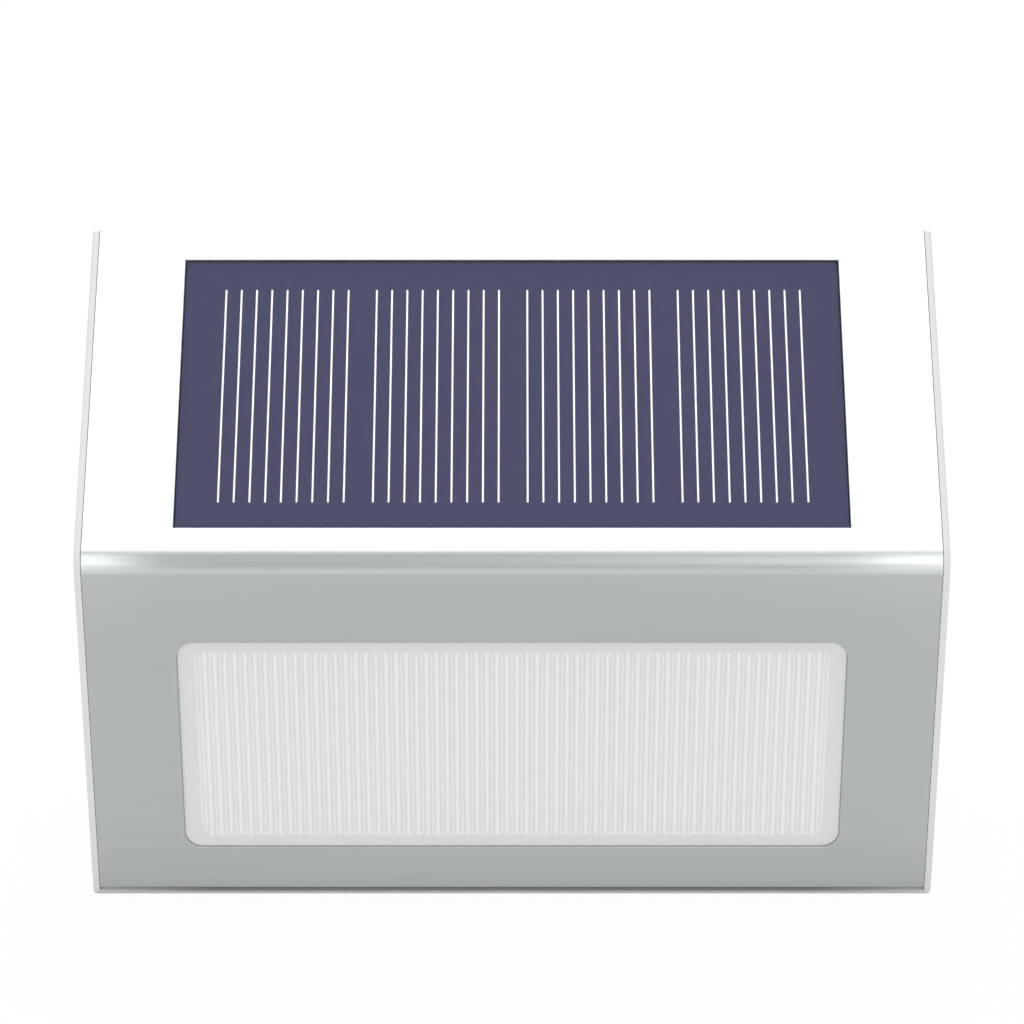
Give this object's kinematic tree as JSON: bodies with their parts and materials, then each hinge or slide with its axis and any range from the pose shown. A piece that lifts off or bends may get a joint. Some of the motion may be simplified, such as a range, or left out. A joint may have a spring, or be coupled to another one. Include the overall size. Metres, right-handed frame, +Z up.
{
  "type": "fence light",
  "caption": "Wall-hung solar fence light: wedge-shaped brushed steel cover between pale plastic cheeks, solar module on the slope, ribbed frosted lens on the front.",
  "frame": {"origin": "centre of the rear face that lies against the fence", "axes": "+X to the light's right-hand side seen from the front, +Y into the fence, -Y the front, +Z up"},
  "size_m": [0.12, 0.0503, 0.0902],
  "materials": {
    "brushed_cover": "fine brushing across the width, satin",
    "shell_plastic": "pale grey ABS, fine moulded grain",
    "seal_rubber": "matt silicone",
    "screw_steel": "bright zinc",
    "clear_resin": "clear cast resin",
    "solar_silicon": "dark navy silicon",
    "cell_silver": "printed silver lines",
    "module_board": "dark navy laminate",
    "foam_tape": "grey foam tape",
    "frosted_lens": "frosted white, light diffusing",
    "reflector_white": "matt white",
    "circuit_board": "green solder mask",
    "lamp_resin": "clear lamp resin",
    "black_epoxy": "black epoxy",
    "ferrite": "dark ferrite",
    "can_aluminium": "plain can",
    "switch_can": "bright tin",
    "knob_plastic": "black, ribbed",
    "battery_steel": null,
    "battery_print": "plain green shrink sleeve",
    "contact_nickel": "nickelled spring steel",
    "wire_red": "red insulation",
    "wire_black": "black insulation"
  },
  "bodies": {
    "housing": {"steel_cover": "brushed_cover", "front_shell": "shell_plastic", "back_plate": "shell_plastic", "back_gasket": "seal_rubber", "back_plate_screws": "screw_steel", "solar_resin": "clear_resin", "solar_cells": "solar_silicon", "solar_fingers": "cell_silver", "solar_substrate": "module_board", "solar_adhesive": "foam_tape", "lens": "frosted_lens", "lens_seal": "seal_rubber", "reflector": "reflector_white", "reflector_screws": "screw_steel", "led_board": "circuit_board", "leds": "lamp_resin", "led_board_screws": "screw_steel", "control_board": "circuit_board", "control_board_screws": "screw_steel", "control_chip": "black_epoxy", "boost_inductor": "ferrite", "control_capacitor": "can_aluminium", "switch_body": "switch_can", "battery_can": "battery_steel", "battery_sleeve": "battery_print", "positive_contact": "contact_nickel", "negative_contact": "contact_nickel", "solar_wire_red": "wire_red", "solar_wire_black": "wire_black", "battery_wire_red": "wire_red", "battery_wire_black": "wire_black", "led_wire_red": "wire_red", "led_wire_black": "wire_black"},
    "slider": {"switch_slider": "knob_plastic"},
    "door": {"battery_door": "shell_plastic", "battery_door_seal": "seal_rubber", "battery_door_screws": "screw_steel"}
  },
  "joints": [
    {"name": "switch_slide", "type": "slide", "parent": "housing", "child": "slider", "axis": [1, 0, 0], "range_m": [0, 0.003]},
    {"name": "battery_door_lift", "type": "slide", "parent": "housing", "child": "door", "axis": [0, 1, 0], "range_m": [0, 0.03]}
  ]
}
